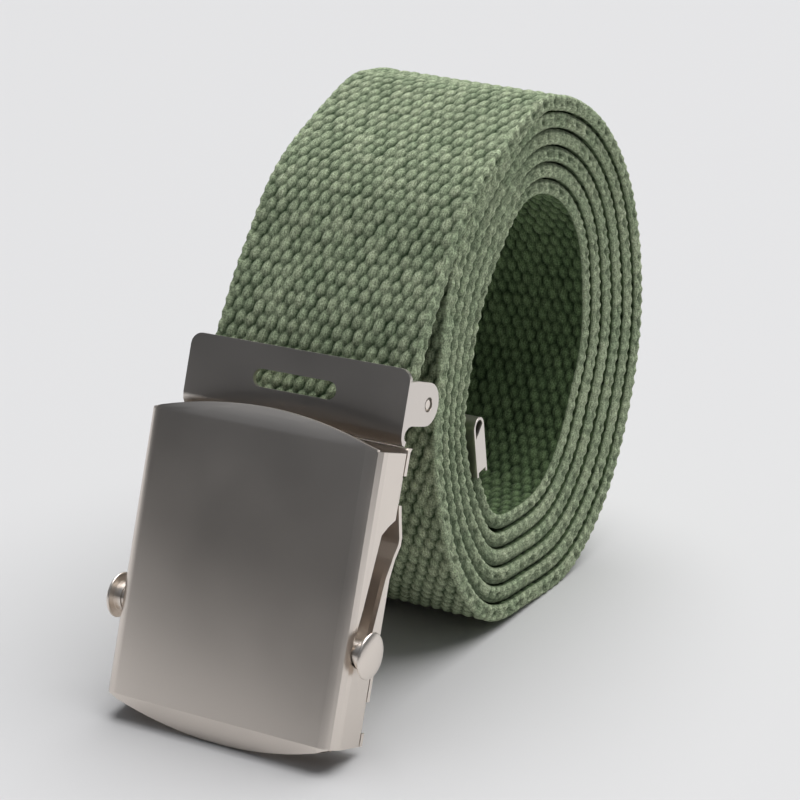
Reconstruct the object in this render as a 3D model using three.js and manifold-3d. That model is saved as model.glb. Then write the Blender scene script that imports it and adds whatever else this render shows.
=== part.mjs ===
// Canvas web belt: a roll of thick woven webbing whose outer end is held in a metal box buckle.
// Millimetres, +Z up. X runs along the roll's axis, -Y is the side of the buckle's face.
// The strap is one outline in the YZ plane, thickened and given a width along X. The buckle's
// sheet parts are drawn in a frame of their own: X across, Y into the depth, Z up the face.
import * as THREE from "three";
import { mergeVertices } from "three/addons/utils/BufferGeometryUtils.js";
import Module from "manifold-3d";

const wasm = await Module();
wasm.setup();

// Driving sizes
const clearance = 0.3; // between any two pieces
const sheet = 0.85; // metal sheet of the buckle
const tipSheet = 0.5; // thinner sheet of the belt tip

const strapWidth = 38;
const strapThickness = 2.4;
const pinchDepth = 0.6; // how much the clip squeezes the free end
const rollRadius = 40; // mean radius of the outermost turn
const rollPitch = 3.2; // mean step from one turn to the next
const rollStep = 10; // degrees between stations
const sideStep = 0.57; // each turn sits this much further from the near side
const tailTurn = 2010; // degrees wound before the tail leaves the spiral

const strapRoom = 1.6; // between the strap's edge and the side walls
const caseHalf = strapWidth / 2 + strapRoom + sheet;
const caseHeight = 45.8;
const wallDepth = 8.3;
const cornerRadius = 2.6;
const archRise = 3.4;
const archBend = 0.075; // depth gained by the square of the height
const lipDrop = 3.9;
const lipBend = 0.5; // depth gained per millimetre of drop

const buckleLean = 18.8; // degrees the face leans back at its top
const buckleSide = -0.6; // the buckle sits a little to one side of the strap
const buckleOut = -56.2; // Y of the face's top chord
const buckleUp = 6.4; // height of that chord above the roll's centre

const pivotDepth = 14.2;
const pivotUp = 7.7;
const pinRadius = 0.75;
const holeRadius = 1.2;

const rollerRadius = 2.05;
const headRadius = 3.75;
const headDepth = 1.1;
const headOff = 1.6; // from the wall to the head's underside
const rollerDepth = 3.8;
const rollerUp = 14.9; // from the case's foot
const rollerDown = caseHeight - rollerUp;
const trackSlope = 10; // degrees the roller's track leans from the face

const clampDepth = 7.0;
const clampInset = 1.2; // how much narrower than the case the clamp is, on each side
const clampSide = 0.5; // play that the clamp has taken up along its pins
const clampHalf = caseHalf - clampInset;
const clampTop = 12.8;
const earRadius = 3.45;
const clampSlot = { width: 15.4, height: 2.9, down: 5.4 };

// Finishes
const finish = {
  canvas: { color: 0x6d8769, roughness: 0.95, metalness: 0 },
  nickel: { color: 0xb3aea6, roughness: 0.38, metalness: 1 },
  steel: { color: 0x8d8984, roughness: 0.42, metalness: 1 },
};

const rad = THREE.MathUtils.degToRad;

// Solids: three.js geometry in and out of manifold-3d, which only joins and cuts
function toSolid(geometry) {
  const bare = geometry.clone();
  bare.deleteAttribute("normal");
  bare.deleteAttribute("uv");
  const merged = mergeVertices(bare, 1e-4);
  return new wasm.Manifold(
    new wasm.Mesh({
      numProp: 3,
      vertProperties: new Float32Array(merged.attributes.position.array),
      triVerts: new Uint32Array(merged.index.array),
    }),
  );
}

function toGeometry(solid) {
  const mesh = solid.getMesh();
  const geometry = new THREE.BufferGeometry();
  geometry.setAttribute("position", new THREE.BufferAttribute(mesh.vertProperties, 3));
  geometry.setIndex(new THREE.BufferAttribute(mesh.triVerts, 1));
  geometry.computeVertexNormals();
  return geometry;
}

const join = (first, ...rest) => rest.reduce((a, b) => a.add(b), first);
const cut = (first, ...rest) => rest.reduce((a, b) => a.subtract(b), first);

function box(x0, x1, y0, y1, z0, z1) {
  const geometry = new THREE.BoxGeometry(x1 - x0, y1 - y0, z1 - z0);
  geometry.translate((x0 + x1) / 2, (y0 + y1) / 2, (z0 + z1) / 2);
  return toSolid(geometry);
}

// An outline drawn on two axes and pushed along the third from one value to the other
const planes = {
  acrossX: [[0, 1, 0], [0, 0, 1], [1, 0, 0]], // outline in (y, z)
  acrossZ: [[1, 0, 0], [0, 1, 0], [0, 0, 1]], // outline in (x, y)
  acrossY: [[0, 0, 1], [1, 0, 0], [0, 1, 0]], // outline in (z, x)
};

function prism(outline, plane, from, to) {
  const shape = new THREE.Shape(outline.map(([a, b]) => new THREE.Vector2(a, b)));
  const geometry = new THREE.ExtrudeGeometry(shape, { depth: to - from, bevelEnabled: false });
  geometry.translate(0, 0, from);
  const [u, v, w] = planes[plane].map((axis) => new THREE.Vector3(...axis));
  return toSolid(geometry.applyMatrix4(new THREE.Matrix4().makeBasis(u, v, w)));
}

function arc(cx, cy, radius, from, to, steps) {
  return Array.from({ length: steps + 1 }, (_, i) => {
    const a = rad(from + ((to - from) * i) / steps);
    return [cx + radius * Math.cos(a), cy + radius * Math.sin(a)];
  });
}

// Outline of a bent sheet: one face as a line, the other offset by the thickness to its right
function bentSheet(line, thickness) {
  const offset = line.map(([x, y], i) => {
    const before = line[Math.max(i - 1, 0)];
    const after = line[Math.min(i + 1, line.length - 1)];
    const d1 = new THREE.Vector2(x - before[0], y - before[1]).normalize();
    const d2 = new THREE.Vector2(after[0] - x, after[1] - y).normalize();
    if (i === 0) d1.copy(d2);
    if (i === line.length - 1) d2.copy(d1);
    const along = d1.clone().add(d2).normalize();
    const reach = thickness / Math.max(0.5, along.dot(d1));
    return [x + along.y * reach, y - along.x * reach];
  });
  return [...line, ...offset.reverse()];
}

// A closed block between two faces given on the same grid
function slab(front, back, columns, rows) {
  const points = [];
  for (const face of [front, back])
    for (let i = 0; i <= columns; i++)
      for (let j = 0; j <= rows; j++) points.push(...face(i / columns, j / rows));
  const at = (side, i, j) => (side * (columns + 1) + i) * (rows + 1) + j;
  const index = [];
  const quad = (a, b, c, d) => index.push(a, b, c, a, c, d);
  for (let i = 0; i < columns; i++)
    for (let j = 0; j < rows; j++) {
      quad(at(0, i, j), at(0, i + 1, j), at(0, i + 1, j + 1), at(0, i, j + 1));
      quad(at(1, i, j), at(1, i, j + 1), at(1, i + 1, j + 1), at(1, i + 1, j));
    }
  for (let i = 0; i < columns; i++) {
    quad(at(0, i, 0), at(1, i, 0), at(1, i + 1, 0), at(0, i + 1, 0));
    quad(at(0, i, rows), at(0, i + 1, rows), at(1, i + 1, rows), at(1, i, rows));
  }
  for (let j = 0; j < rows; j++) {
    quad(at(0, 0, j), at(0, 0, j + 1), at(1, 0, j + 1), at(1, 0, j));
    quad(at(0, columns, j), at(1, columns, j), at(1, columns, j + 1), at(0, columns, j + 1));
  }
  const geometry = new THREE.BufferGeometry();
  geometry.setAttribute("position", new THREE.Float32BufferAttribute(points, 3));
  geometry.setIndex(index);
  return toSolid(geometry);
}

function lathe(profile, segments) {
  const points = profile.map(([radius, along]) => new THREE.Vector2(radius, along));
  const geometry = new THREE.LatheGeometry(points, segments);
  geometry.rotateZ(-Math.PI / 2);
  return toSolid(geometry);
}

// The strap's outline. Row by row round the roll, from the rear at 0 degrees over the top at 90:
// the radius the outermost turn has there as a share of rollRadius, corrected to the start of the
// winding, the step between turns as a share of rollPitch, and how much further out the strap's far
// edge lies than its near one, as a share of rollRadius.
const roll = [
  { radius: 1.098, step: 1.06, flare: 0 },
  { radius: 1.126, step: 0.99, flare: 0.005 },
  { radius: 1.18, step: 0.88, flare: 0.02 },
  { radius: 1.224, step: 0.86, flare: 0.055 },
  { radius: 1.244, step: 0.96, flare: -0.003 },
  { radius: 1.165, step: 1.15, flare: -0.01 },
  { radius: 1.085, step: 1.2, flare: -0.02 },
  { radius: 0.955, step: 1.03, flare: -0.022 },
  { radius: 0.926, step: 0.94, flare: 0.007 },
  { radius: 0.932, step: 0.95, flare: 0 },
  { radius: 1, step: 1.01, flare: 0 },
  { radius: 1.062, step: 0.98, flare: 0 },
  { radius: 1.035, step: 0.93, flare: 0 },
  { radius: 1.105, step: 1.07, flare: 0 },
  { radius: 1.103, step: 1.13, flare: 0 },
  { radius: 1.082, step: 1.14, flare: 0 },
];

// Outer face of the strap where it leaves the roll for the buckle, then in the buckle's own frame
const lead = [
  { out: -0.385, up: 1.094 },
  { out: -0.62, up: 0.952 },
  { out: -0.793, up: 0.757 },
  { out: -0.928, up: 0.587 },
  { out: -1.043, up: 0.399 },
];
const held = [
  { depth: 10.2, up: 12.1 },
  { depth: 9.7, up: 8.8 },
  { depth: 9.15, up: 6.9 },
  { depth: 8.7, up: 5.4 },
];

// The free end leaves the winding: degrees past its last turn, and how far it stands off inwards
const tail = [
  { past: 13, inset: 0.3 },
  { past: 25, inset: 0.95 },
  { past: 38, inset: 1.6 },
  { past: 51, inset: 1.9 },
];

function aroundRoll(key, angle) {
  const at = ((((angle / 360) * roll.length) % roll.length) + roll.length) % roll.length;
  const i = Math.floor(at);
  const t = at - i;
  const [a, b, c, d] = [-1, 0, 1, 2].map((k) => roll[(i + k + roll.length) % roll.length][key]);
  const cubic = t * (3 * (b - c) + d - a);
  return b + 0.5 * t * (c - a + t * (2 * a - 5 * b + 4 * c - d + cubic));
}

// Point of the outer face after `turned` degrees of winding, 0 being the top of the roll
function wound(turned) {
  const angle = 90 - turned;
  const wind = (rollPitch * aroundRoll("step", angle) * turned) / 360;
  const radius = rollRadius * aroundRoll("radius", angle) - wind;
  return new THREE.Vector2(radius * Math.cos(rad(angle)), radius * Math.sin(rad(angle)));
}

const buckleAt = new THREE.Vector2(buckleOut, buckleUp);
const fromBuckle = (depth, up) =>
  new THREE.Vector2(depth, up).rotateAround(new THREE.Vector2(), rad(-buckleLean)).add(buckleAt);
const fromShare = ({ out, up }) => new THREE.Vector2(out, up).multiplyScalar(rollRadius);
const inside = ({ past, inset }) => {
  const p = wound(tailTurn + past);
  return p.setLength(p.length() - inset);
};

// Degrees wound at a point before the first full turn: none until the top of the roll is near
const turnedAt = (p) => 90 - THREE.MathUtils.radToDeg(Math.atan2(p.y, p.x));

function strapOutline() {
  const start = new THREE.SplineCurve([
    ...held.map(({ depth, up }) => fromBuckle(depth, up)).reverse(),
    ...lead.map(fromShare).reverse(),
    wound(0),
    wound(rollStep),
  ]);
  const end = new THREE.SplineCurve([
    wound(tailTurn - rollStep),
    wound(tailTurn),
    ...tail.map(inside),
  ]);
  const turns = [];
  for (let turned = rollStep; turned < tailTurn - rollStep; turned += rollStep)
    turns.push({ p: wound(turned), turned });
  const startPoints = start.getSpacedPoints(24).slice(0, -1).map((p) => ({ p, turned: turnedAt(p) }));
  const endPoints = end.getSpacedPoints(9).map((p) => ({ p, turned: tailTurn }));
  return [...startPoints, ...turns, ...endPoints];
}

function strap() {
  const path = strapOutline();
  const pinch = (i) => {
    const left = path.length - 1 - i;
    return strapThickness - pinchDepth * Math.min(1, Math.max(0, (9 - left) / 4));
  };
  const points = [];
  path.forEach(({ p, turned }, i) => {
    const a = path[Math.max(i - 1, 0)].p;
    const b = path[Math.min(i + 1, path.length - 1)].p;
    const along = b.clone().sub(a).normalize();
    const inner = new THREE.Vector2(along.y, -along.x).multiplyScalar(pinch(i)).add(p);
    const side = (-sideStep * Math.max(0, turned)) / 360;
    const near = side + strapWidth / 2;
    const far = side - strapWidth / 2;
    const flare = rollRadius * aroundRoll("flare", 90 - turned);
    const out = new THREE.Vector2(-along.y, along.x).multiplyScalar(flare);
    points.push([near, p.x, p.y], [near, inner.x, inner.y]);
    points.push([far, inner.x + out.x, inner.y + out.y], [far, p.x + out.x, p.y + out.y]);
  });
  const index = [];
  for (let i = 0; i < path.length - 1; i++)
    for (let k = 0; k < 4; k++) {
      const [a, b, c, d] = [4 * i + k, 4 * i + ((k + 1) % 4), 4 * i + 4 + ((k + 1) % 4), 4 * i + 4 + k];
      index.push(a, b, c, a, c, d);
    }
  const last = 4 * (path.length - 1);
  index.push(0, 2, 1, 0, 3, 2, last, last + 1, last + 2, last, last + 2, last + 3);
  const geometry = new THREE.BufferGeometry();
  geometry.setAttribute("position", new THREE.Float32BufferAttribute(points.flat(), 3));
  geometry.setIndex(index);
  return toSolid(geometry);
}

// Folded clip over the free end: a U of sheet with two side plates that leave its mouth open
function tip() {
  const path = strapOutline();
  const end = path[path.length - 1].p;
  const before = path[path.length - 2].p;
  const lying = Math.atan2(end.y - before.y, end.x - before.x);
  const mouth = strapThickness - pinchDepth + 2 * clearance;
  const length = 8.6;
  const half = strapWidth / 2 + clearance;
  const round = mouth / 2;
  const inner = [[-length, 0], ...arc(clearance, -round, round, 90, -90, 8), [-length, -mouth]];
  const fold = bentSheet([...inner].reverse(), tipSheet);
  const bend = prism(fold, "acrossX", -half - tipSheet, half + tipSheet);
  const plate = [
    [-length + 0.8, 0.1],
    [-1.6, 0.1],
    [0.6, -mouth - 0.1],
    [-length + 0.8, -mouth - 0.1],
  ];
  const ends = [-half - tipSheet, half].map((from) => prism(plate, "acrossX", from, from + tipSheet));
  const side = (-sideStep * tailTurn) / 360;
  return join(bend, ...ends)
    .translate([0, 0, clearance])
    .rotate([THREE.MathUtils.radToDeg(lying), 0, 0])
    .translate([side, end.x, end.y]);
}

// The buckle, in its own frame: face at depth 0, Z = 0 at the face's top chord
const across = (x) => Math.max(0, 1 - (x / (caseHalf - 0.15)) ** 2);
const rounding = (x) => {
  const over = Math.max(0, Math.abs(x) - (caseHalf - cornerRadius));
  return cornerRadius - Math.sqrt(Math.max(0, cornerRadius ** 2 - over ** 2));
};

const share = (down) => -down * caseHeight;
const slotAxis = (down) => rollerDepth + (rollerDown - down) * Math.tan(rad(trackSlope));

function buckleCase() {
  const w = caseHalf;
  const r = cornerRadius;
  const inner = r - sheet;
  const channel = prism(
    [
      [-w, wallDepth],
      ...arc(-w + r, r, r, 180, 270, 4),
      ...arc(w - r, r, r, 270, 360, 4),
      [w, wallDepth],
      [w - sheet, wallDepth],
      ...arc(w - r, r, inner, 360, 270, 3),
      ...arc(-w + r, r, inner, 270, 180, 3),
      [-w + sheet, wallDepth],
    ],
    "acrossZ",
    -caseHeight,
    0,
  );
  const half = w - 0.9;
  const crescent = (base, way, extent, depthAt) => (depth) => (u, v) => {
    const x = half * (2 * u - 1);
    const height = extent * across(x) * v;
    return [x, rounding(x) + depth + depthAt(height), base + way * (height - 0.3 * (1 - v))];
  };
  const top = crescent(0, 1, archRise, (h) => archBend * h ** 2);
  const foot = crescent(-caseHeight, -1, lipDrop, (h) => lipBend * h);
  const flip = (face) => (u, v) => face(u, 1 - v);
  const arch = slab(top(0), top(sheet), 22, 4);
  const lip = slab(flip(foot(0)), flip(foot(sheet)), 22, 2);
  const reach = rollerRadius + clearance;
  const front = (down) => slotAxis(down) - reach / Math.cos(rad(trackSlope));
  const window = prism(
    [
      [2 * wallDepth, share(0.22)],
      [wallDepth - 0.1, share(0.227)],
      [0.77 * wallDepth, share(0.248)],
      [0.56 * wallDepth, share(0.276)],
      [front(0.346 * caseHeight), share(0.346)],
      ...arc(rollerDepth, -rollerDown, reach, 180 - trackSlope, 330, 9),
      [wallDepth - 0.6, -rollerDown - 1.6],
      [2 * wallDepth, -rollerDown - 1.6],
    ],
    "acrossX",
    -w - 2,
    w + 2,
  );
  const rear = wallDepth + clearance + sheet;
  const crimps = [-1, 1].flatMap((s) =>
    crimpRows.map(({ from, to }) => {
      const tab = [
        [w - sheet, wallDepth - 0.2],
        [w, wallDepth - 0.2],
        [w - 0.1, wallDepth + 0.35],
        [w - 0.45, rear - 0.3],
        [w - 1, rear],
        [w - crimpReach, rear],
        [w - crimpReach, rear - sheet],
        [w - sheet, rear - sheet],
      ];
      return prism(tab.map(([x, y]) => [s * x, y]), "acrossZ", -to * caseHeight, -from * caseHeight);
    }),
  );
  return join(cut(join(channel, arch, lip), window), ...crimps);
}

// Tabs of the side walls folded into notches of the back plate, as shares of the case's height
const crimpRows = [
  { from: 0.083, to: 0.17 },
  { from: 0.854, to: 0.948 },
];
const crimpReach = 3.2;

function backPlate() {
  const w = caseHalf;
  const rear = wallDepth + clearance + sheet;
  const narrow = clampHalf - sheet - clampSide - clearance;
  const profile = bentSheet(
    [
      [pivotDepth + 1.3, pivotUp + 2.2],
      [pivotDepth + 1.3, pivotUp + 0.3],
      [pivotDepth + 0.5, pivotUp - 1.3],
      [rear + 3.1, pivotUp - 3.2],
      [rear + 1.6, 2],
      [rear + 0.1, 0.2],
      [rear, share(0.175)],
      [rear + 0.8, share(0.225)],
      [rear + 1.9, share(0.285)],
      [rear + 1.9, share(0.315)],
      [rear + 0.8, share(0.361)],
      [rear, share(0.428)],
      [rear, -caseHeight],
    ],
    sheet,
  );
  const body = prism(profile, "acrossX", -w, w);
  const spare = [-1, 1].flatMap((s) => {
    const span = (a, b) => (s > 0 ? [a, b] : [-b, -a]);
    return [
      box(...span(narrow, w + 1), 0, 2 * pivotDepth, 0.8, 2 * pivotUp),
      ...crimpRows.map(({ from, to }) => {
        const [foot, head] = [-to * caseHeight - clearance, -from * caseHeight + clearance];
        return box(...span(w - crimpReach - clearance, w + 1), 0, 2 * pivotDepth, foot, head);
      }),
    ];
  });
  const reach = (rollerRadius + clearance) / Math.cos(rad(trackSlope));
  const bottom = rollerDown + 0.8;
  const flange = [
    [rear + 1.5, share(0.311)],
    [rear, share(0.359)],
    [slotAxis(0.423 * caseHeight) + reach, share(0.423)],
    [slotAxis(bottom) + reach, -bottom],
    [rear - 0.2, -bottom],
    [rear - 0.2, share(0.432)],
    [rear + 0.6, share(0.365)],
    [rear + 1.7, share(0.315)],
  ];
  const upright = [
    [pivotDepth + 0.9, pivotUp - 0.4],
    [pivotDepth + 1.1, pivotUp + 2],
    ...arc(pivotDepth, pivotUp + 0.9, 1.2, 90, 180, 3),
    [pivotDepth - 1.2, pivotUp - 1.8],
    [pivotDepth - 0.8, pivotUp - 2.2],
  ];
  const wings = [-1, 1].flatMap((s) => {
    const span = (a, b) => (s > 0 ? [a, b] : [-b, -a]);
    const [from, to] = span(narrow - 0.1, clampHalf + s * clampSide - 0.15);
    const pin = lathe([[0, from], [pinRadius, from], [pinRadius, to], [0, to]], 16);
    return [
      prism(flange, "acrossX", ...span(w - sheet, w)),
      prism(upright, "acrossX", ...span(narrow - sheet, narrow)),
      pin.translate([0, pivotDepth, pivotUp]),
    ];
  });
  return join(cut(body, ...spare), ...wings);
}

function clampPlate() {
  const w = clampHalf;
  const face = clampDepth;
  const profile = bentSheet(
    [
      [face + 1.6, 0.9],
      [face + 0.8, 1.15],
      [face + 0.25, 1.9],
      [face, 3.0],
      [face, clampTop],
    ],
    sheet,
  );
  const plate = prism([...profile].reverse(), "acrossX", -w, w);
  const { width, height, down } = clampSlot;
  const mid = clampTop - down;
  const slot = prism(
    [
      ...arc(mid, width / 2 - height / 2, height / 2, 0, 180, 8),
      ...arc(mid, -width / 2 + height / 2, height / 2, 180, 360, 8),
    ],
    "acrossY",
    0,
    20,
  );
  const corner = 2;
  const corners = [-1, 1].map((s) => {
    const outline = [
      [clampTop + 1, s * (w + 1)],
      [clampTop + 1, s * (w - corner)],
      ...arc(clampTop - corner, s * (w - corner), corner, 0, s * 90, 5),
      [clampTop - corner, s * (w + 1)],
    ];
    return prism(s > 0 ? outline.reverse() : outline, "acrossY", 0, 20);
  });
  const pitch = 2;
  const teeth = [];
  for (let x = -w + pitch; x < w - 0.5 * pitch; x += pitch)
    teeth.push(prism([[x - 0.5, face + 3], [x, face + 1.2], [x + 0.5, face + 3]], "acrossZ", -1.5, 1.2));
  const ear = [
    [face + 0.3, pivotUp + earRadius - 0.3],
    [face + 2.8, pivotUp + earRadius],
    ...arc(pivotDepth - 0.2, pivotUp, earRadius, 90, -90, 10),
    [face + 2.8, pivotUp - earRadius - 0.1],
    [face + 1.9, pivotUp - 3.8],
    [face + 1.15, pivotUp - 4.5],
    [face + sheet, 2.1],
    [face + 0.3, 2.1],
  ];
  const hole = lathe([[0, -w - 1], [holeRadius, -w - 1], [holeRadius, w + 1], [0, w + 1]], 20);
  const ears = [-w, w - sheet].map((from) => prism([...ear].reverse(), "acrossX", from, from + sheet));
  return cut(join(cut(plate, slot, ...corners), ...ears), hole.translate([0, pivotDepth, pivotUp]), ...teeth);
}

function rollerBar() {
  const wall = caseHalf + headOff;
  const side = [
    [rollerRadius, caseHalf + clearance],
    [rollerRadius + 0.3, caseHalf + clearance],
    [rollerRadius + 0.3, wall],
    [headRadius - 0.1, wall],
    [headRadius, wall + 0.25 * headDepth],
    [0.93 * headRadius, wall + 0.5 * headDepth],
    [0.72 * headRadius, wall + 0.78 * headDepth],
    [0.4 * headRadius, wall + 0.94 * headDepth],
    [0, wall + headDepth],
  ];
  const other = side.map(([r, along]) => [r, -along]).reverse();
  return lathe([...other, ...side], 28).translate([0, rollerDepth, -rollerDown]);
}

// Assembly: the buckle's pieces lean back with the face, then the whole lies down on the roll's
// underside and the lip of the case
const inBuckle = (solid) => solid.rotate([-buckleLean, 0, 0]).translate([buckleSide, buckleOut, buckleUp]);
const pieces = [
  ["webbing", strap(), finish.canvas],
  ["belt_tip", tip(), finish.steel],
  ["buckle_case", inBuckle(buckleCase()), finish.nickel],
  ["back_plate", inBuckle(backPlate()), finish.nickel],
  ["clamp_plate", inBuckle(clampPlate().translate([clampSide, 0, 0])), finish.steel],
  ["roller_bar", inBuckle(rollerBar()), finish.nickel],
];

const lowest = (solid, angle) => solid.rotate([angle, 0, 0]).boundingBox().min[2];
let [low, high] = [-4, 4];
for (let i = 0; i < 30; i++) {
  const middle = (low + high) / 2;
  if (lowest(pieces[2][1], middle) < lowest(pieces[0][1], middle)) high = middle;
  else low = middle;
}

const belt = new THREE.Group();
const bounds = new THREE.Box3();
for (const [name, solid, { color, roughness, metalness }] of pieces) {
  const geometry = toGeometry(solid.rotate([low, 0, 0]));
  const mesh = new THREE.Mesh(geometry, new THREE.MeshStandardMaterial({ color, roughness, metalness }));
  mesh.name = name;
  belt.add(mesh);
  geometry.computeBoundingBox();
  bounds.union(geometry.boundingBox);
}
const middle = bounds.getCenter(new THREE.Vector3());
belt.children.forEach((mesh) => mesh.geometry.translate(-middle.x, -middle.y, -bounds.min.z));

export default belt;
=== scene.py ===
# %% [markdown]
# # A rolled canvas belt with a box buckle
# The belt is one long strap of thick woven webbing, wound into a roll and held at its outer end
# in a buckle of satin nickel-plated steel. The frame from the CAD model fixes where everything
# sits; this notebook dresses it. We work in metres, with real sizes written in millimetres.

import math

import bpy
import numpy as np
from mathutils import Matrix, Vector


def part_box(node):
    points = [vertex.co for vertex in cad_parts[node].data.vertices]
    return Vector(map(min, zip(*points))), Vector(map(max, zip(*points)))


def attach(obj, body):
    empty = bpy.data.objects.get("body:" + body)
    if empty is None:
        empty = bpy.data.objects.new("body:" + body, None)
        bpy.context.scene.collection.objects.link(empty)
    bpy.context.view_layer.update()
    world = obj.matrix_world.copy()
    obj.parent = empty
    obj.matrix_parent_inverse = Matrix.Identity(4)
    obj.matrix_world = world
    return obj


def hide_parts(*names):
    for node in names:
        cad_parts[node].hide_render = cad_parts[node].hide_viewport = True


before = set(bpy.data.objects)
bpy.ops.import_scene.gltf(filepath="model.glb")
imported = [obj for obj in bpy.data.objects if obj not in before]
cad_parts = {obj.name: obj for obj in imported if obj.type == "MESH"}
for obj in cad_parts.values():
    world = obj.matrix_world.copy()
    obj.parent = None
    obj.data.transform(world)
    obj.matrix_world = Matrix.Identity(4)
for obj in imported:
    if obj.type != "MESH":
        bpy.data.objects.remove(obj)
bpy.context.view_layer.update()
bpy.ops.object.select_all(action="DESELECT")
MM = 0.001

# %% [markdown]
# ## Camera
# The photograph is taken with a long lens from a little above, about 30 degrees to the right of
# the buckle's face. The place was worked out from the roll's outline and the buckle's straight
# edges. The camera is level except for a lean of under a degree, given by its up direction.

# %% Camera
CAMERA_AT = Vector((190.885, -327.186, 174.260)) * MM
LOOKS_AT = Vector((-5.594, 10.538, 35.125)) * MM
CAMERA_UP = Vector((0, 0.01466, 0.99989))
LENS = 106.6
SENSOR_WIDTH = 36

camera_data = bpy.data.cameras.new("camera")
camera_data.lens = LENS
camera_data.sensor_width = SENSOR_WIDTH
camera = bpy.data.objects.new("camera", camera_data)
bpy.context.scene.collection.objects.link(camera)
forward = (LOOKS_AT - CAMERA_AT).normalized()
right = forward.cross(CAMERA_UP).normalized()
up = right.cross(forward)
facing = Matrix((right, up, -forward)).transposed().to_4x4()
camera.matrix_world = Matrix.Translation(CAMERA_AT) @ facing
bpy.context.scene.camera = camera
print("camera distance %.3f m" % (LOOKS_AT - CAMERA_AT).length)

# %% [markdown]
# ## Helpers for materials
# Colours are picked as sRGB hex values, the way a paint chart gives them, and Cycles wants them
# linear. One helper adds a node, fills in its inputs and links what feeds it.


# %% Material helpers
def linear(hex_colour):
    """sRGB hex to linear RGBA."""
    channels = [int(hex_colour[i : i + 2], 16) / 255 for i in (1, 3, 5)]
    return [c / 12.92 if c <= 0.04045 else ((c + 0.055) / 1.055) ** 2.4 for c in channels] + [1]


def add_node(tree, kind, settings=None, inputs=None):
    """A node of that kind; an input is a value, or an output socket to link from."""
    node = tree.nodes.new(kind)
    for key, value in (settings or {}).items():
        setattr(node, key, value)
    for key, value in (inputs or {}).items():
        if isinstance(value, bpy.types.NodeSocket):
            tree.links.new(value, node.inputs[key])
        else:
            node.inputs[key].default_value = value
    return node


def new_material(name):
    """An empty material and its tree, with the shader already linked to the output."""
    material = bpy.data.materials.new(name)
    material.use_nodes = True
    tree = material.node_tree
    tree.nodes.clear()
    shader = add_node(tree, "ShaderNodeBsdfPrincipled")
    add_node(tree, "ShaderNodeOutputMaterial", inputs={"Surface": shader.outputs["BSDF"]})
    return material, tree, shader


# %% [markdown]
# ## The strap's path
# Seen from the side the strap is a single line: out of the buckle, over the top of the roll and
# round it five and three quarter times towards the middle. The table goes round the roll from the
# rear, and gives the outermost turn's radius, the step between turns and how much further out the
# strap's far edge lies, as shares of the roll's radius and pitch. They are the same values as in the
# CAD model, so the cloth lies where it does.

# %% Sizes of the strap and the roll
STRAP_WIDTH = 38
STRAP_THICKNESS = 2.4
ROLL_RADIUS = 40
ROLL_PITCH = 3.2
SIDE_STEP = 0.57  # each turn lies this much further to the far side
TAIL_TURN = 2010  # degrees wound before the free end leaves the winding
ROLL = np.array(
    [
        (1.098, 1.06, 0), (1.126, 0.99, 0.005), (1.18, 0.88, 0.02), (1.224, 0.86, 0.055),
        (1.244, 0.96, -0.003), (1.165, 1.15, -0.01), (1.085, 1.2, -0.02), (0.955, 1.03, -0.022),
        (0.926, 0.94, 0.007), (0.932, 0.95, 0), (1.0, 1.01, 0), (1.062, 0.98, 0),
        (1.035, 0.93, 0), (1.105, 1.07, 0), (1.103, 1.13, 0), (1.082, 1.14, 0),
    ]
)  # radius, step, flare
# From the buckle up to the top of the roll, as shares of its radius
LEAD = [(-1.043, 0.399), (-0.928, 0.587), (-0.793, 0.757), (-0.62, 0.952), (-0.385, 1.094)]
TAIL = [(13, 0.3), (25, 0.95), (38, 1.6), (51, 1.9)]  # degrees past the winding, set in by
HELD = [(8.7, 5.4), (9.15, 6.9), (9.7, 8.8), (10.2, 12.1)]  # in the buckle: depth, up
BUCKLE_LEAN = math.radians(-18.8)
BUCKLE_AT = np.array([-56.2, 6.4])  # top of the buckle's face, from the roll's centre
LYING = math.radians(-0.8399)  # the whole tips this far to stand on the roll and the buckle's foot
JOINED_OVER = 10  # degrees of winding shared by the roll with the lead and with the tail
CURVE_STEPS = 12
print("%d places round the roll, %.2f turns" % (len(ROLL), (TAIL_TURN + TAIL[-1][0]) / 360))


# %% Curves of the path
def spline(p0, p1, p2, p3, t):
    """Catmull-Rom point between p1 and p2."""
    squared = (2 * p0 - 5 * p1 + 4 * p2 - p3) * t**2
    cubed = (3 * (p1 - p2) + p3 - p0) * t**3
    return 0.5 * (2 * p1 + (p2 - p0) * t + squared + cubed)


def around(winding):
    """Radius, step and flare of the roll after that many degrees of winding."""
    at = (90 - winding) / 360 * len(ROLL)
    i = math.floor(at)
    rows = [ROLL[(i + k) % len(ROLL)] for k in (-1, 0, 1, 2)]
    return spline(*rows, at - i)


def wound(winding, inset=0):
    """Outer face after that many degrees of winding, 0 being the top of the roll."""
    radius, step, _ = around(winding)
    r = ROLL_RADIUS * radius - ROLL_PITCH * step * winding / 360 - inset
    angle = math.radians(90 - winding)
    return np.array([r * math.cos(angle), r * math.sin(angle)])


def through(points, steps):
    """Smooth line through a few points."""
    points = [2 * points[0] - points[1], *points, 2 * points[-1] - points[-2]]
    line = [spline(*points[i : i + 4], k / steps) for i in range(len(points) - 3) for k in range(steps)]
    return [*line, points[-2]]


def turn(points, angle):
    """Points of the side view turned about the roll's centre."""
    c, s = math.cos(angle), math.sin(angle)
    return np.array(points) @ np.array([[c, s], [-s, c]])


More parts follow.
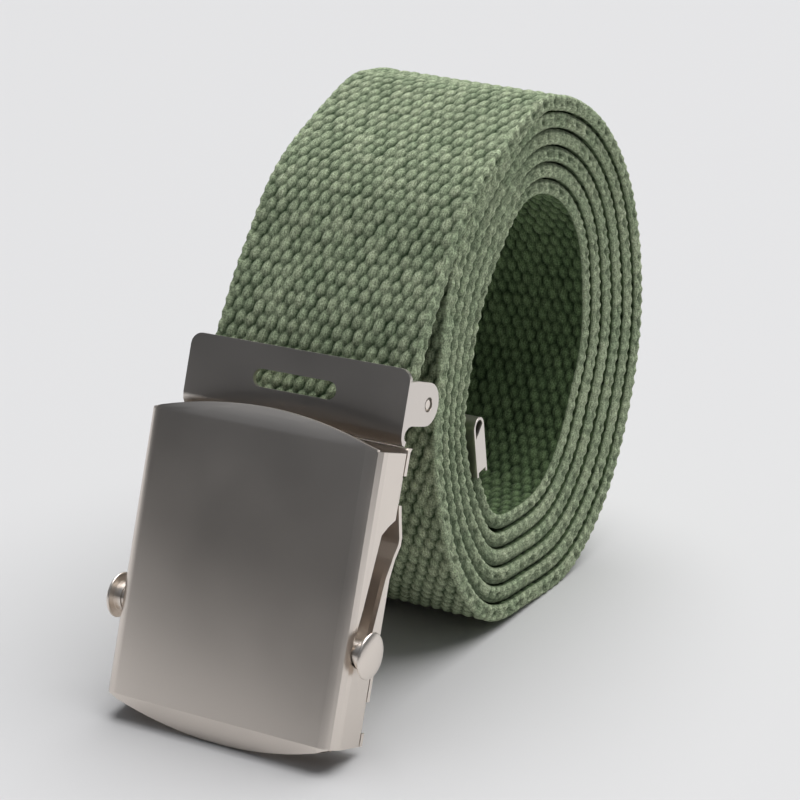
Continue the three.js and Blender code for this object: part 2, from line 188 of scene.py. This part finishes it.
# %% Path of the strap
held = turn(HELD, BUCKLE_LEAN) + BUCKLE_AT
lead = through([*held, *(ROLL_RADIUS * np.array(LEAD)), wound(0), wound(JOINED_OVER)], CURVE_STEPS)
set_in = [wound(TAIL_TURN + past, inset) for past, inset in TAIL]
tail = through([wound(TAIL_TURN - JOINED_OVER), wound(TAIL_TURN), *set_in], CURVE_STEPS)
spiral_turns = np.arange(JOINED_OVER + 1, TAIL_TURN - JOINED_OVER, 1.0)
outer = turn([*lead, *[wound(winding) for winding in spiral_turns], *tail], LYING)

# The webbing's box in the frame places the path: rear, floor and near side
low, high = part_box("webbing")
outer += np.array([high.y / MM - outer[:, 0].max(), low.z / MM - outer[:, 1].min()])
middle_across = high.x / MM - STRAP_WIDTH / 2

before = 90 - np.degrees([math.atan2(y, x) for x, y in lead])
turned = np.concatenate([before, spiral_turns, np.full(len(tail), float(TAIL_TURN))])
rolled = np.array([around(winding) for winding in turned])
flare = ROLL_RADIUS * rolled[:, 2]
along = np.concatenate([[0], np.cumsum(np.linalg.norm(np.diff(outer, axis=0), axis=1))])
strap_length = along[-1]
print("strap length %.0f mm, its middle %.2f mm across" % (strap_length, middle_across))

# %% [markdown]
# Soft webbing isn't equally thick everywhere. Where a further turn lies inside, it swells until it nearly
# touches it, and the folded clip on the free end squeezes it flat.

# %% Thickness of the strap
SWELLS_TO = 0.91  # share of the step between turns that the cloth fills
AIR = 0.1
THICKEST = 3.1
SWELLS_OVER = 12  # degrees of winding
WRAPPED_FROM = -25  # degrees wound where the strap first lies on a further turn
WRAPPED_TO = TAIL_TURN - 360 - SWELLS_OVER
CLIPPED = 0.6  # the clip takes this off the thickness of the last millimetres
CLIPPED_END = 15
CLIPPED_OVER = 5

room = np.clip(SWELLS_TO * ROLL_PITCH * rolled[:, 1] - AIR, STRAP_THICKNESS, THICKEST)
wrapped = np.clip(np.minimum(turned - WRAPPED_FROM, WRAPPED_TO - turned) / SWELLS_OVER, 0, 1)
thick = STRAP_THICKNESS + (room - STRAP_THICKNESS) * wrapped
thick -= CLIPPED * np.clip((along - (strap_length - CLIPPED_END)) / CLIPPED_OVER, 0, 1)
print("webbing %.1f to %.1f mm thick" % (thick.min(), thick.max()))

# %% [markdown]
# ## Weaving the strap
# Thick canvas webbing is a plain weave of heavy cotton: each warp yarn floats over one hidden weft
# and dives under the next. So the face is rows of oval floats 2.1 mm apart, and each row is shifted
# by half a float against the last, like bricks. Small dark pits are left where four floats meet.
# The relief is so coarse that it breaks up the outline, so it is modelled: a fine grid wraps round
# the strap, and a function of the place across and along pushes each point in or out. No two floats
# are quite alike, so a table of chances, drawn once, moves and resizes each of them a little.

# %% The weave's relief
FLOATS = 18
FLOAT_PITCH = STRAP_WIDTH / (FLOATS + 0.5)
ROW_PITCH = 2.25
FLOAT_HALF_WIDTH = 1.06
FLOAT_HALF_LENGTH = 1.6
FLOAT_SLANT = 0.12
FLOAT_ROUNDNESS = 0.8
STRAYS_ALONG = 0.16  # share of a row
STRAYS_ACROSS = 0.14  # share of the distance between floats
WIDTH_VARIES = 0.14
LENGTH_VARIES = 0.3
LEAST_HEIGHT, HEIGHT_VARIES = 0.82, 0.18
CHANCE_COLUMNS, CHANCE_ROWS = FLOATS + 6, 700
EDGE_CHANCES = FLOATS + 3  # the first of the two columns kept for the selvedges
weave_seed = np.random.default_rng(7)
chance = weave_seed.random((CHANCE_COLUMNS, CHANCE_ROWS, 4))


def weave(across, along_mm):
    """Height from 0 in the pits to 1 on a float, and the float's own shade, for places in mm."""
    height = np.zeros(np.broadcast(across, along_mm).shape)
    shade = np.full(height.shape, 0.5)
    nearest_row = np.round(along_mm / ROW_PITCH).astype(int)
    for row in (nearest_row - 1, nearest_row, nearest_row + 1):
        place = across / FLOAT_PITCH + FLOATS / 2 - 0.5 * (row % 2)
        column = np.round(place).astype(int)
        r = chance[np.clip(column + 1, 0, CHANCE_COLUMNS - 1), row % CHANCE_ROWS]
        y = along_mm - ROW_PITCH * (row + STRAYS_ALONG * (r[..., 0] - 0.5))
        x = FLOAT_PITCH * (place - column + STRAYS_ACROSS * (r[..., 1] - 0.5)) - FLOAT_SLANT * y
        spread = (np.abs(x) / (FLOAT_HALF_WIDTH + WIDTH_VARIES * (r[..., 2] - 0.5))) ** 2
        spread = spread + (np.abs(y) / (FLOAT_HALF_LENGTH + LENGTH_VARIES * (r[..., 3] - 0.5))) ** 2
        dome = np.clip(1 - spread, 0, 1) ** FLOAT_ROUNDNESS * (LEAST_HEIGHT + HEIGHT_VARIES * r[..., 3])
        higher = dome > height
        height = np.where(higher, dome, height)
        shade = np.where(higher, r[..., 2], shade)
    return height, shade


print("floats %.2f mm apart in rows %.2f mm apart" % (FLOAT_PITCH, ROW_PITCH))

# %% [markdown]
# At the selvedge the weft turns back every second row. Seen on edge, each layer is two twisted
# cords, one along either face, with short bars across and deep pits between them. Where a face lies
# on another turn, the edge falls away towards it and leaves a crevice, and the same lower height paints
# the crevice dark as painted shade. The turns step sideways as they wind, so at the front of the roll
# each one shades the next, and there the crevice and its painted shade are made wider and deeper.

# %% The selvedge's relief
BAR_HALF = 0.36  # share of the distance between bars
BAR_TOP, BAR_FALL = 1.25, 2.2
BAR_LEAST, BAR_VARIES = 0.75, 0.25
BAR_HEIGHT = 0.9
CORD_STARTS, CORD_RISES = 0.15, 0.4  # shares of the way from the edge's middle to a face
TWIST_SLANT = 0.35
KNOT_HEIGHT, KNOT_DEPTH = 0.7, 0.3
PIT_FILLED, PIT_RARITY = 0.55, 1.5
CREVICE_STARTS, CREVICE_WIDENS, CREVICE_FALLS = 0.75, 0.72, 0.25
CREVICE_DEPTH, CREVICE_DEEPENS = 0.55, 0.43


def selvedge(angle, along_mm, side, pressed, shaded):
    """Height and shade for the edge, where angle goes from face to face through 0 at its middle."""
    bar_row = along_mm / (2 * ROW_PITCH) + 0.5 * side
    row = np.floor(bar_row).astype(int)
    r = chance[EDGE_CHANCES + side, row % CHANCE_ROWS]
    off_bar = np.abs(bar_row - row - 0.5 + STRAYS_ACROSS * (r[..., 1] - 0.5))
    bar = np.clip(BAR_TOP - (off_bar / BAR_HALF) ** BAR_FALL, 0, 1) * (BAR_LEAST + BAR_VARIES * r[..., 2])
    towards_face = abs(math.sin(angle))
    cord = np.clip((towards_face - CORD_STARTS) / CORD_RISES, 0, 1)
    twist = along_mm / ROW_PITCH + 0.5 * (angle > 0) + TWIST_SLANT * math.sin(angle)
    knot = KNOT_HEIGHT + KNOT_DEPTH * np.cos(2 * np.pi * twist)
    filled = PIT_FILLED * r[..., 0] ** PIT_RARITY
    height = np.maximum(np.maximum(cord, BAR_HEIGHT * bar) * knot, filled)
    # Painted shade: the crevice lowers the height, which sinks the edge and darkens its colour through the
    # relief; on the outer side it widens towards the front of the roll
    starts = CREVICE_STARTS - CREVICE_WIDENS * shaded * (angle < 0)
    crevice = pressed[int(angle > 0)] * np.clip((towards_face - starts) / CREVICE_FALLS, 0, 1)
    return height * (1 - (CREVICE_DEPTH + CREVICE_DEEPENS * shaded) * crevice), r[..., 3]


print("bars at the selvedge %.1f mm apart" % (2 * ROW_PITCH))

# %% [markdown]
# The section of the strap is a ring of points: across the outer face, round the near selvedge,
# back across the inner face and round the far selvedge. Sweeping it along the path with numpy is
# far quicker than displacing a subdivided mesh, and it keeps the cloth's own coordinates, which
# become a UV map, so that the yarn follows the strap round every bend.

# %% Section of the strap
RELIEF = 0.52
FLOAT_RISE = 0.12
EDGE = 1.0  # width of the strap taken up by each selvedge
EDGE_STEPS = 11
EDGE_BULGE, EDGE_RELIEF, EDGE_RISE = 0.2, 0.75, 0.1
FUZZ = 0.09
HELD_FLATTER, HELD_LENGTH, HELD_OVER = 0.3, 30, 6  # the cloth is pressed flatter in the buckle
INNER_FACE_AT = 60  # the inner face's middle on the cloth's map, in mm


def section_ring(outer_columns, inner_columns):
    """The parts of the section in order, each point with its place across or its angle."""
    flat = STRAP_WIDTH / 2 - EDGE
    outer_places, inner_places = (np.linspace(-flat, flat, n + 1) for n in (outer_columns, inner_columns))
    angles = np.linspace(-np.pi / 2, np.pi / 2, EDGE_STEPS + 2)[1:-1]
    ring = [("outer", place) for place in outer_places] + [("near", angle) for angle in angles]
    return ring + [("inner", place) for place in inner_places[::-1]] + [("far", -angle) for angle in angles]


def face_column(place, face, s, thickness):
    """Across, depth, relief, shade and place on the map along a face, 0 outer and 1 inner."""
    height, shade = weave(np.full(len(s), place), s + face * ROW_PITCH)
    flatter = HELD_FLATTER * np.clip((HELD_LENGTH - s) / HELD_OVER, 0, 1)
    rise = FLOAT_RISE - flatter - RELIEF * (1 - height)
    depth = face * thickness + (2 * face - 1) * rise
    return np.full(len(s), place), depth, height, shade, place + INNER_FACE_AT * face


def edge_column(angle, side, s, thickness, pressed, shaded):
    """The same along a selvedge, side being 1 for the near one and -1 for the far one."""
    height, shade = selvedge(angle, s, (side + 1) // 2, pressed, shaded)
    bulge = EDGE + EDGE_BULGE - EDGE_RELIEF * (1 - height) * math.cos(angle) ** 0.5
    x = side * (STRAP_WIDTH / 2 - EDGE + bulge * abs(math.cos(angle)) ** 0.7)
    depth = thickness / 2 + (thickness / 2 + EDGE_RISE) * math.sin(angle)
    return x, depth, height**0.6, shade, side * (STRAP_WIDTH / 2 + angle)


# %% Mesh of the strap
SMOOTHED_OVER = (-1.5, -0.75, 0, 0.75, 1.5)
LOOKS_AHEAD = 2
MAP_UNIT = 0.01  # a hundred millimetres of cloth are one unit of its UV map


def along_strap(s, values):
    """Values of the path at those lengths in mm."""
    return np.interp(s, along, values)


def line_at(s):
    """Places on the outer face at those lengths, and the directions from there into the cloth."""
    softened = [[along_strap(s + d, outer[:, i]) for i in (0, 1)] for d in SMOOTHED_OVER]
    base = np.mean(softened, axis=0).T
    ahead, behind = ([along_strap(s + d, outer[:, i]) for i in (0, 1)] for d in (LOOKS_AHEAD, -LOOKS_AHEAD))
    tangent = (np.array(ahead) - np.array(behind)).T
    tangent /= np.linalg.norm(tangent, axis=1)[:, None]
    return base, np.stack([tangent[:, 1], -tangent[:, 0]], 1)


def tube(name, points):
    """Closed mesh over rows of points that each go round the section once."""
    rows, n = points.shape[:2]
    index = np.arange(rows * n).reshape(rows, n)
    following = np.roll(index, -1, axis=1)
    quads = np.stack([index[:-1], index[1:], following[1:], following[:-1]], -1).reshape(-1, 4)
    caps = [index[0].tolist(), index[-1][::-1].tolist()]
    mesh = bpy.data.meshes.new(name)
    mesh.from_pydata((points.reshape(-1, 3) * MM).tolist(), [], quads.tolist() + caps)
    mesh.update()
    mesh.polygons.foreach_set("use_smooth", [True] * len(quads) + [False] * len(caps))
    return mesh


def map_cloth(mesh, section, s, layers):
    """A UV map of the cloth, round the section and along, and one attribute for each layer."""
    loops = np.zeros(len(mesh.loops), int)
    mesh.loops.foreach_get("vertex_index", loops)
    uv = np.stack([section[loops % len(section)], s[loops // len(section)]], 1) * MAP_UNIT
    mesh.uv_layers.new(name="cloth").data.foreach_set("uv", uv.ravel())
    for layer, values in layers.items():
        data = mesh.attributes.new(layer, "FLOAT", "POINT").data
        data.foreach_set("value", values.ravel().astype(np.float32))


# %% Sweep a stretch of the strap
def strap_piece(name, start, end, step, outer_columns, inner_columns, pressed):
    """One closed stretch of webbing between two lengths in mm."""
    s = np.linspace(start, end, max(2, round((end - start) / step)) + 1)
    base, inward = line_at(s)
    thickness = along_strap(s, thick)
    spread = along_strap(s, flare)
    winding = along_strap(s, turned)
    shift = middle_across - SIDE_STEP * np.maximum(0, winding) / 360
    # 1 at the front of the roll and 0 at the rear: it widens and deepens the painted crevice shade at the
    # edges
    shaded = 0.5 - 0.5 * np.sin(np.radians(winding))

    seed = np.random.default_rng(round(end))
    ring = section_ring(outer_columns, inner_columns)
    points = np.zeros((len(s), len(ring), 3))
    relief, shades = np.zeros((2, len(s), len(ring)))
    section = np.zeros(len(ring))
    for k, (part, place) in enumerate(ring):
        if part in ("outer", "inner"):
            column = face_column(place, int(part == "inner"), s, thickness)
        else:
            column = edge_column(place, 1 if part == "near" else -1, s, thickness, pressed, shaded)
        x, depth, relief[:, k], shades[:, k], section[k] = column
        depth = depth + FUZZ * (seed.random(len(s)) - 0.5)
        x = x + FUZZ * (seed.random(len(s)) - 0.5)
        out = spread * (0.5 - x / STRAP_WIDTH)
        points[:, k, 0] = x + shift
        points[:, k, 1:] = base + inward * (depth - out)[:, None]

    mesh = tube(name, points)
    map_cloth(mesh, section, s, {"relief": relief, "shade": shades})
    piece = bpy.data.objects.new(name, mesh)
    bpy.context.scene.collection.objects.link(piece)
    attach(piece, "belt")
    triangles = sum(len(polygon.vertices) - 2 for polygon in mesh.polygons)
    print(name, "%.0f mm of strap, %d triangles" % (end - start, triangles))
    return piece


# %% [markdown]
# The strap is cut into five stretches that meet without a gap, so that only the faces that show are
# woven finely: the outer face on the lead and the outermost turn, and the inner face in the hollow.
# The turns in the middle show nothing but their edges.


# %% The stretches of the strap
def length_at(winding):
    """Length along the strap where that many degrees have been wound."""
    spiral = slice(len(lead) - 1, -len(tail))
    return float(np.interp(winding, turned[spiral], along[spiral]))


LEAD_TO, REAR_TO, FRONT_TO, MIDDLE_TO = (length_at(winding) for winding in (32, 205, 374, 1650))
# Name, from, to, step, columns on the outer and the inner face, which of these lies on another turn
stretches = [
    ("webbing_lead", 0, LEAD_TO, 0.3, 118, 60, (0, 0)),
    ("webbing_outer_rear", LEAD_TO, REAR_TO, 0.34, 110, 12, (0, 1)),
    ("webbing_outer_front", REAR_TO, FRONT_TO, 0.34, 110, 12, (0, 1)),
    ("webbing_middle_turns", FRONT_TO, MIDDLE_TO, 0.5, 8, 8, (1, 1)),
    ("webbing_inner_turn", MIDDLE_TO, strap_length, 0.32, 24, 112, (1, 0)),
]
strap_pieces = [strap_piece(*stretch) for stretch in stretches]
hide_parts("webbing")

# %% [markdown]
# ## Cotton canvas webbing
# Spun cotton is matt and slightly hairy: no gloss, a soft sheen at grazing angles, and colour that
# varies from float to float, because each yarn takes the dye a little differently. The pits
# between the floats hardly see the light, so their shade is painted in as a deeper green, and the
# face rolled inwards, in the roll's shade, is painted darker too. Cotton fibres are a few hundredths
# of a millimetre thick, too fine to show, so they are drawn as slanting streaks about a quarter of a
# millimetre wide along each float, and the loose ones as speckle.


# %% Webbing material
def webbing_material():
    """Dyed cotton yarn, with painted shade in the pits and on the face rolled inwards."""
    material, tree, shader = new_material("sage_cotton_canvas_webbing")
    cloth = add_node(tree, "ShaderNodeUVMap", {"uv_map": "cloth"})
    relief = add_node(tree, "ShaderNodeAttribute", {"attribute_name": "relief"})
    shade = add_node(tree, "ShaderNodeAttribute", {"attribute_name": "shade"})
    # UV units are 100 mm, so a scale of 100 gives one cell per millimetre
    fibre_map = add_node(
        tree,
        "ShaderNodeMapping",
        inputs={"Vector": cloth.outputs["UV"], "Rotation": (0, 0, 0.4), "Scale": (430, 85, 1)},
    )
    fibres = add_node(
        tree,
        "ShaderNodeTexNoise",
        inputs={"Vector": fibre_map.outputs["Vector"], "Scale": 1.0, "Detail": 4.0, "Roughness": 0.65},
    )
    streak = add_node(tree, "ShaderNodeMapRange", inputs={0: fibres.outputs["Fac"], 1: 0.32, 2: 0.68})
    # Dye varies from yarn to yarn, and fades in patches about half a centimetre wide
    fading = add_node(
        tree,
        "ShaderNodeTexNoise",
        inputs={"Vector": cloth.outputs["UV"], "Scale": 22.0, "Detail": 3.0, "Roughness": 0.6},
    )
    dye = add_node(
        tree,
        "ShaderNodeMix",
        {"data_type": "FLOAT"},
        {0: 0.28, 2: fading.outputs["Fac"], 3: shade.outputs["Fac"]},
    )
    yarn_colour = add_node(
        tree,
        "ShaderNodeMix",
        {"data_type": "RGBA"},
        {0: dye.outputs[0], 6: linear("#8a9d7c"), 7: linear("#c0c8a8")},
    )
    fibre_colour = add_node(
        tree,
        "ShaderNodeMix",
        {"data_type": "RGBA", "blend_type": "OVERLAY"},
        {0: 0.5, 6: yarn_colour.outputs[2], 7: streak.outputs[0]},
    )
    fluff = add_node(
        tree,
        "ShaderNodeTexNoise",
        inputs={"Vector": cloth.outputs["UV"], "Scale": 330.0, "Detail": 2.0, "Roughness": 0.6},
    )
    hairs = add_node(tree, "ShaderNodeMapRange", inputs={0: fluff.outputs["Fac"], 1: 0.3, 2: 0.72})
    hairy_colour = add_node(
        tree,
        "ShaderNodeMix",
        {"data_type": "RGBA", "blend_type": "OVERLAY"},
        {0: 0.5, 6: fibre_colour.outputs[2], 7: hairs.outputs[0]},
    )
    # Painted shade: where the relief is low, in the pits between floats and the crevices at the edges, the
    # colour is mixed towards a dark green
    pit_painted_shade = add_node(tree, "ShaderNodeMapRange", inputs={0: relief.outputs["Fac"], 1: 0.0, 2: 0.9})
    colour = add_node(
        tree,
        "ShaderNodeMix",
        {"data_type": "RGBA"},
        {0: pit_painted_shade.outputs[0], 6: linear("#24381f"), 7: hairy_colour.outputs[2]},
    )
    # Painted shade: the face rolled inwards is made darker, as the inside of the roll is in shade. It lies
    # from 0.4 to 0.8 on the map
    section = add_node(tree, "ShaderNodeSeparateXYZ", inputs={"Vector": cloth.outputs["UV"]})
    inward = add_node(tree, "ShaderNodeMapRange", inputs={0: section.outputs["X"], 1: 0.3, 2: 0.31, 4: 1.0})
    inner_face_painted_shade_colour = add_node(
        tree,
        "ShaderNodeMix",
        {"data_type": "RGBA", "blend_type": "MULTIPLY"},
        {0: inward.outputs[0], 6: colour.outputs[2], 7: linear("#a3b59c")},
    )
    bump = add_node(
        tree,
        "ShaderNodeBump",
        inputs={"Height": fibres.outputs["Fac"], "Strength": 0.8, "Distance": 0.25 * MM},
    )
    tree.links.new(inner_face_painted_shade_colour.outputs[2], shader.inputs["Base Color"])
    tree.links.new(bump.outputs["Normal"], shader.inputs["Normal"])
    shader.inputs["Roughness"].default_value = 0.95
    shader.inputs["Specular IOR Level"].default_value = 0.12
    shader.inputs["Sheen Weight"].default_value = 0.2
    shader.inputs["Sheen Roughness"].default_value = 0.5
    shader.inputs["Sheen Tint"].default_value = linear("#cdd6bd")
    return material


canvas = webbing_material()
for piece in strap_pieces:
    piece.data.materials.append(canvas)
print(canvas.name, "on", len(strap_pieces), "pieces")

# %% [markdown]
# ## The buckle's metal
# The buckle's plates and the clip on the free end are stamped from sheet steel, its roller bar is
# turned, and all are nickel-plated. An edge of theirs is never knife sharp: the die rounds one side
# and the plating softens both, and that thin bright line is what makes it read as metal. So each CAD
# node is copied, its flat faces are cleaned of extra edges, and its edges are bevelled by a tenth to
# a third of a millimetre.

# %% Round the edges of a metal part
MERGED_WITHIN = 0.002  # mm
FLAT_WITHIN = math.radians(1.5)
BEVELLED_FROM = math.radians(28)
SHARP_FROM = math.radians(35)
BEVEL_SEGMENTS = 2
NORMAL_WEIGHT = 50


def stamped(node_name, name, width, body):
    """A copy of a CAD node with edges rounded by that width in mm, standing for it."""
    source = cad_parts[node_name]
    copy = bpy.data.objects.new(name, source.data.copy())
    copy.data.materials.clear()
    bpy.context.scene.collection.objects.link(copy)
    bpy.ops.object.select_all(action="DESELECT")
    bpy.context.view_layer.objects.active = copy
    copy.select_set(True)
    bpy.ops.object.mode_set(mode="EDIT")
    bpy.ops.mesh.select_all(action="SELECT")
    bpy.ops.mesh.remove_doubles(threshold=MERGED_WITHIN * MM)
    bpy.ops.mesh.dissolve_limited(angle_limit=FLAT_WITHIN)
    bpy.ops.object.mode_set(mode="OBJECT")
    bevel = copy.modifiers.new("rounded_edges", "BEVEL")
    bevel.width = width * MM
    bevel.segments = BEVEL_SEGMENTS
    bevel.limit_method = "ANGLE"
    bevel.angle_limit = BEVELLED_FROM
    bevel.use_clamp_overlap = True
    bevel.miter_outer = "MITER_ARC"
    bpy.ops.object.modifier_apply(modifier=bevel.name)
    bpy.ops.object.shade_smooth_by_angle(angle=SHARP_FROM)
    flatten = copy.modifiers.new("flat_faces_stay_flat", "WEIGHTED_NORMAL")
    flatten.weight = NORMAL_WEIGHT
    flatten.keep_sharp = True
    bpy.ops.object.modifier_apply(modifier=flatten.name)
    copy.select_set(False)
    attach(copy, body)
    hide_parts(node_name)
    print(name, len(copy.data.polygons), "faces")
    return copy


case = stamped("buckle_case", "buckle_case_satin", 0.16, "belt")
back = stamped("back_plate", "back_plate_satin", 0.12, "belt")
clamp = stamped("clamp_plate", "clamp_plate_satin", 0.3, "clamp")
bar = stamped("roller_bar", "roller_bar_turned", 0.1, "roller")
clip = stamped("belt_tip", "belt_tip_folded", 0.1, "belt")

# %% [markdown]
# ## Satin nickel
# Nickel plate is a warm grey metal. The face was brushed before plating, so that its highlights
# are soft and it mirrors the room only as broad light and dark. Fine scratches of a few hundredths
# of a millimetre are drawn ten times as wide to show at all. The big face isn't quite flat either:
# it is stamped slightly full, round by a third of a metre up and down, and it falls off towards its
# two sides. That is too little to model and enough to see in a mirror, so it is a bump.

# %% Metal materials
FULLNESS = 1.5  # fall in metres by the square of the height from the middle, in metres
SIDE_FALL = 4000.0  # and by the fourth power of the place across


def crowned(tree, place, middle, up_the_face):
    """Normal of a face stamped slightly full, around its middle."""
    off = add_node(
        tree,
        "ShaderNodeVectorMath",
        {"operation": "SUBTRACT"},
        {0: place.outputs["Object"], 1: middle},
    )
    height = add_node(
        tree,
        "ShaderNodeVectorMath",
        {"operation": "DOT_PRODUCT"},
        {0: off.outputs["Vector"], 1: up_the_face},
    )
    across = add_node(tree, "ShaderNodeSeparateXYZ", inputs={"Vector": off.outputs["Vector"]})
    squared = add_node(
        tree,
        "ShaderNodeMath",
        {"operation": "MULTIPLY"},
        {0: height.outputs["Value"], 1: height.outputs["Value"]},
    )
    squared_across = add_node(
        tree,
        "ShaderNodeMath",
        {"operation": "MULTIPLY"},
        {0: across.outputs["X"], 1: across.outputs["X"]},
    )
    fourth = add_node(
        tree,
        "ShaderNodeMath",
        {"operation": "MULTIPLY"},
        {0: squared_across.outputs[0], 1: squared_across.outputs[0]},
    )
    side_fall = add_node(
        tree,
        "ShaderNodeMath",
        {"operation": "MULTIPLY"},
        {0: fourth.outputs[0], 1: -SIDE_FALL},
    )
    fall = add_node(
        tree,
        "ShaderNodeMath",
        {"operation": "MULTIPLY_ADD"},
        {0: squared.outputs[0], 1: -FULLNESS, 2: side_fall.outputs[0]},
    )
    return add_node(
        tree,
        "ShaderNodeBump",
        inputs={"Height": fall.outputs[0], "Strength": 1.0, "Distance": 1.0},
    )


def nickel_material(name, colour, roughness, brushed, crown=None):
    """Nickel plate with level brush lines; crown gives the middle of a full face and its way up."""
    material, tree, shader = new_material(name)
    place = add_node(tree, "ShaderNodeTexCoord")
    # Brush lines run across, 17 mm long and a quarter of a millimetre apart
    grain_map = add_node(
        tree, "ShaderNodeMapping", inputs={"Vector": place.outputs["Object"], "Scale": (60, 60, 4000)}
    )
    grain = add_node(
        tree,
        "ShaderNodeTexNoise",
        inputs={"Vector": grain_map.outputs["Vector"], "Scale": 1.0, "Detail": 4.0, "Roughness": 0.7},
    )
    # Wear makes the gloss uneven in patches of about a centimetre
    cloud = add_node(
        tree,
        "ShaderNodeTexNoise",
        inputs={"Vector": place.outputs["Object"], "Scale": 90.0, "Detail": 3.0},
    )
    gloss = add_node(
        tree,
        "ShaderNodeMapRange",
        inputs={0: cloud.outputs["Fac"], 3: roughness - 0.04, 4: roughness + 0.05},
    )
    scratches = add_node(
        tree,
        "ShaderNodeBump",
        inputs={"Height": grain.outputs["Fac"], "Strength": brushed, "Distance": 0.01 * MM},
    )
    if crown:
        tree.links.new(crowned(tree, place, *crown).outputs["Normal"], scratches.inputs["Normal"])
    tree.links.new(gloss.outputs[0], shader.inputs["Roughness"])
    tree.links.new(scratches.outputs["Normal"], shader.inputs["Normal"])
    shader.inputs["Base Color"].default_value = linear(colour)
    shader.inputs["Metallic"].default_value = 1.0
    return material


# %% Finish the metal parts
FACE_MIDDLE = Vector((-0.6, -49.6, 26.2)) * MM  # the crown's highest point, on the case's face
UP_THE_FACE = Vector((0, 0.336, 0.942))
face_nickel = nickel_material(
    "crowned_satin_nickel_plate", "#e8dfd6", 0.33, 0.3, (FACE_MIDDLE, UP_THE_FACE)
)
satin = nickel_material("satin_nickel_plate", "#ece3da", 0.34, 0.3)
dull = nickel_material("dull_nickel_plate", "#e0d9d2", 0.32, 0.2)
for piece, finish in ((case, face_nickel), (back, satin), (bar, satin), (clamp, dull), (clip, dull)):
    piece.data.materials.append(finish)
    print(piece.name, "has", finish.name)

# %% [markdown]
# ## Floor
# The belt stands on a plain pale table that runs on without an edge, so the floor is one plane, far
# larger than the belt, with a matt painted surface.

# %% Floor
FLOOR_SIZE = 40

bpy.ops.mesh.primitive_plane_add(size=FLOOR_SIZE, location=(0, 0, 0))
floor = bpy.context.object
floor.name = "floor"
floor_material, _, floor_shader = new_material("pale_table")
floor_shader.inputs["Base Color"].default_value = linear("#cbcaca")
floor_shader.inputs["Roughness"].default_value = 0.75
floor.data.materials.append(floor_material)
print("floor %d m wide" % FLOOR_SIZE)

# %% [markdown]
# ## Light
# The light is soft and comes from above and behind, as from a wide ceiling panel: a sun lamp with a
# very large angle gives it, and the same shadows wherever the belt stands. The room is dim at eye
# level, and brighter towards the ceiling and behind the table. The dark room in front is what the
# face of the buckle mirrors.

# %% Ceiling panel and room
PANEL_FROM = Vector((0.12, 0.45, 1.1))
CEILING_FROM, CEILING_TO = 0.25, 0.6
DIM, BRIGHT = 0.03, 0.31
FRONT, BEHIND = -0.6, 0.9
FRONT_SHARE, BEHIND_SHARE = 0.7, 1.4

panel_light = bpy.data.lights.new("ceiling_panel", "SUN")
panel_light.energy = 3.75
panel_light.angle = math.radians(68)
panel = bpy.data.objects.new("ceiling_panel", panel_light)
bpy.context.scene.collection.objects.link(panel)
panel.rotation_euler = PANEL_FROM.to_track_quat("Z", "Y").to_euler()

world = bpy.data.worlds.new("room")
world.use_nodes = True
room_tree = world.node_tree
background = room_tree.nodes["Background"]
direction = add_node(room_tree, "ShaderNodeTexCoord")
axes = add_node(room_tree, "ShaderNodeSeparateXYZ", inputs={"Vector": direction.outputs["Generated"]})
ceiling = add_node(
    room_tree,
    "ShaderNodeMapRange",
    {"interpolation_type": "SMOOTHSTEP"},
    {0: axes.outputs["Z"], 1: CEILING_FROM, 2: CEILING_TO, 3: DIM, 4: BRIGHT},
)
behind = add_node(
    room_tree,
    "ShaderNodeMapRange",
    inputs={0: axes.outputs["Y"], 1: FRONT, 2: BEHIND, 3: FRONT_SHARE, 4: BEHIND_SHARE},
)
strength = add_node(
    room_tree,
    "ShaderNodeMath",
    {"operation": "MULTIPLY"},
    {0: ceiling.outputs[0], 1: behind.outputs[0]},
)
room_tree.links.new(strength.outputs[0], background.inputs["Strength"])
background.inputs["Color"].default_value = linear("#e0e7f0")
bpy.context.scene.world = world
bpy.context.scene.view_settings.view_transform = "Standard"
print("panel of strength %.2f, %.0f degrees wide" % (panel_light.energy, math.degrees(panel_light.angle)))
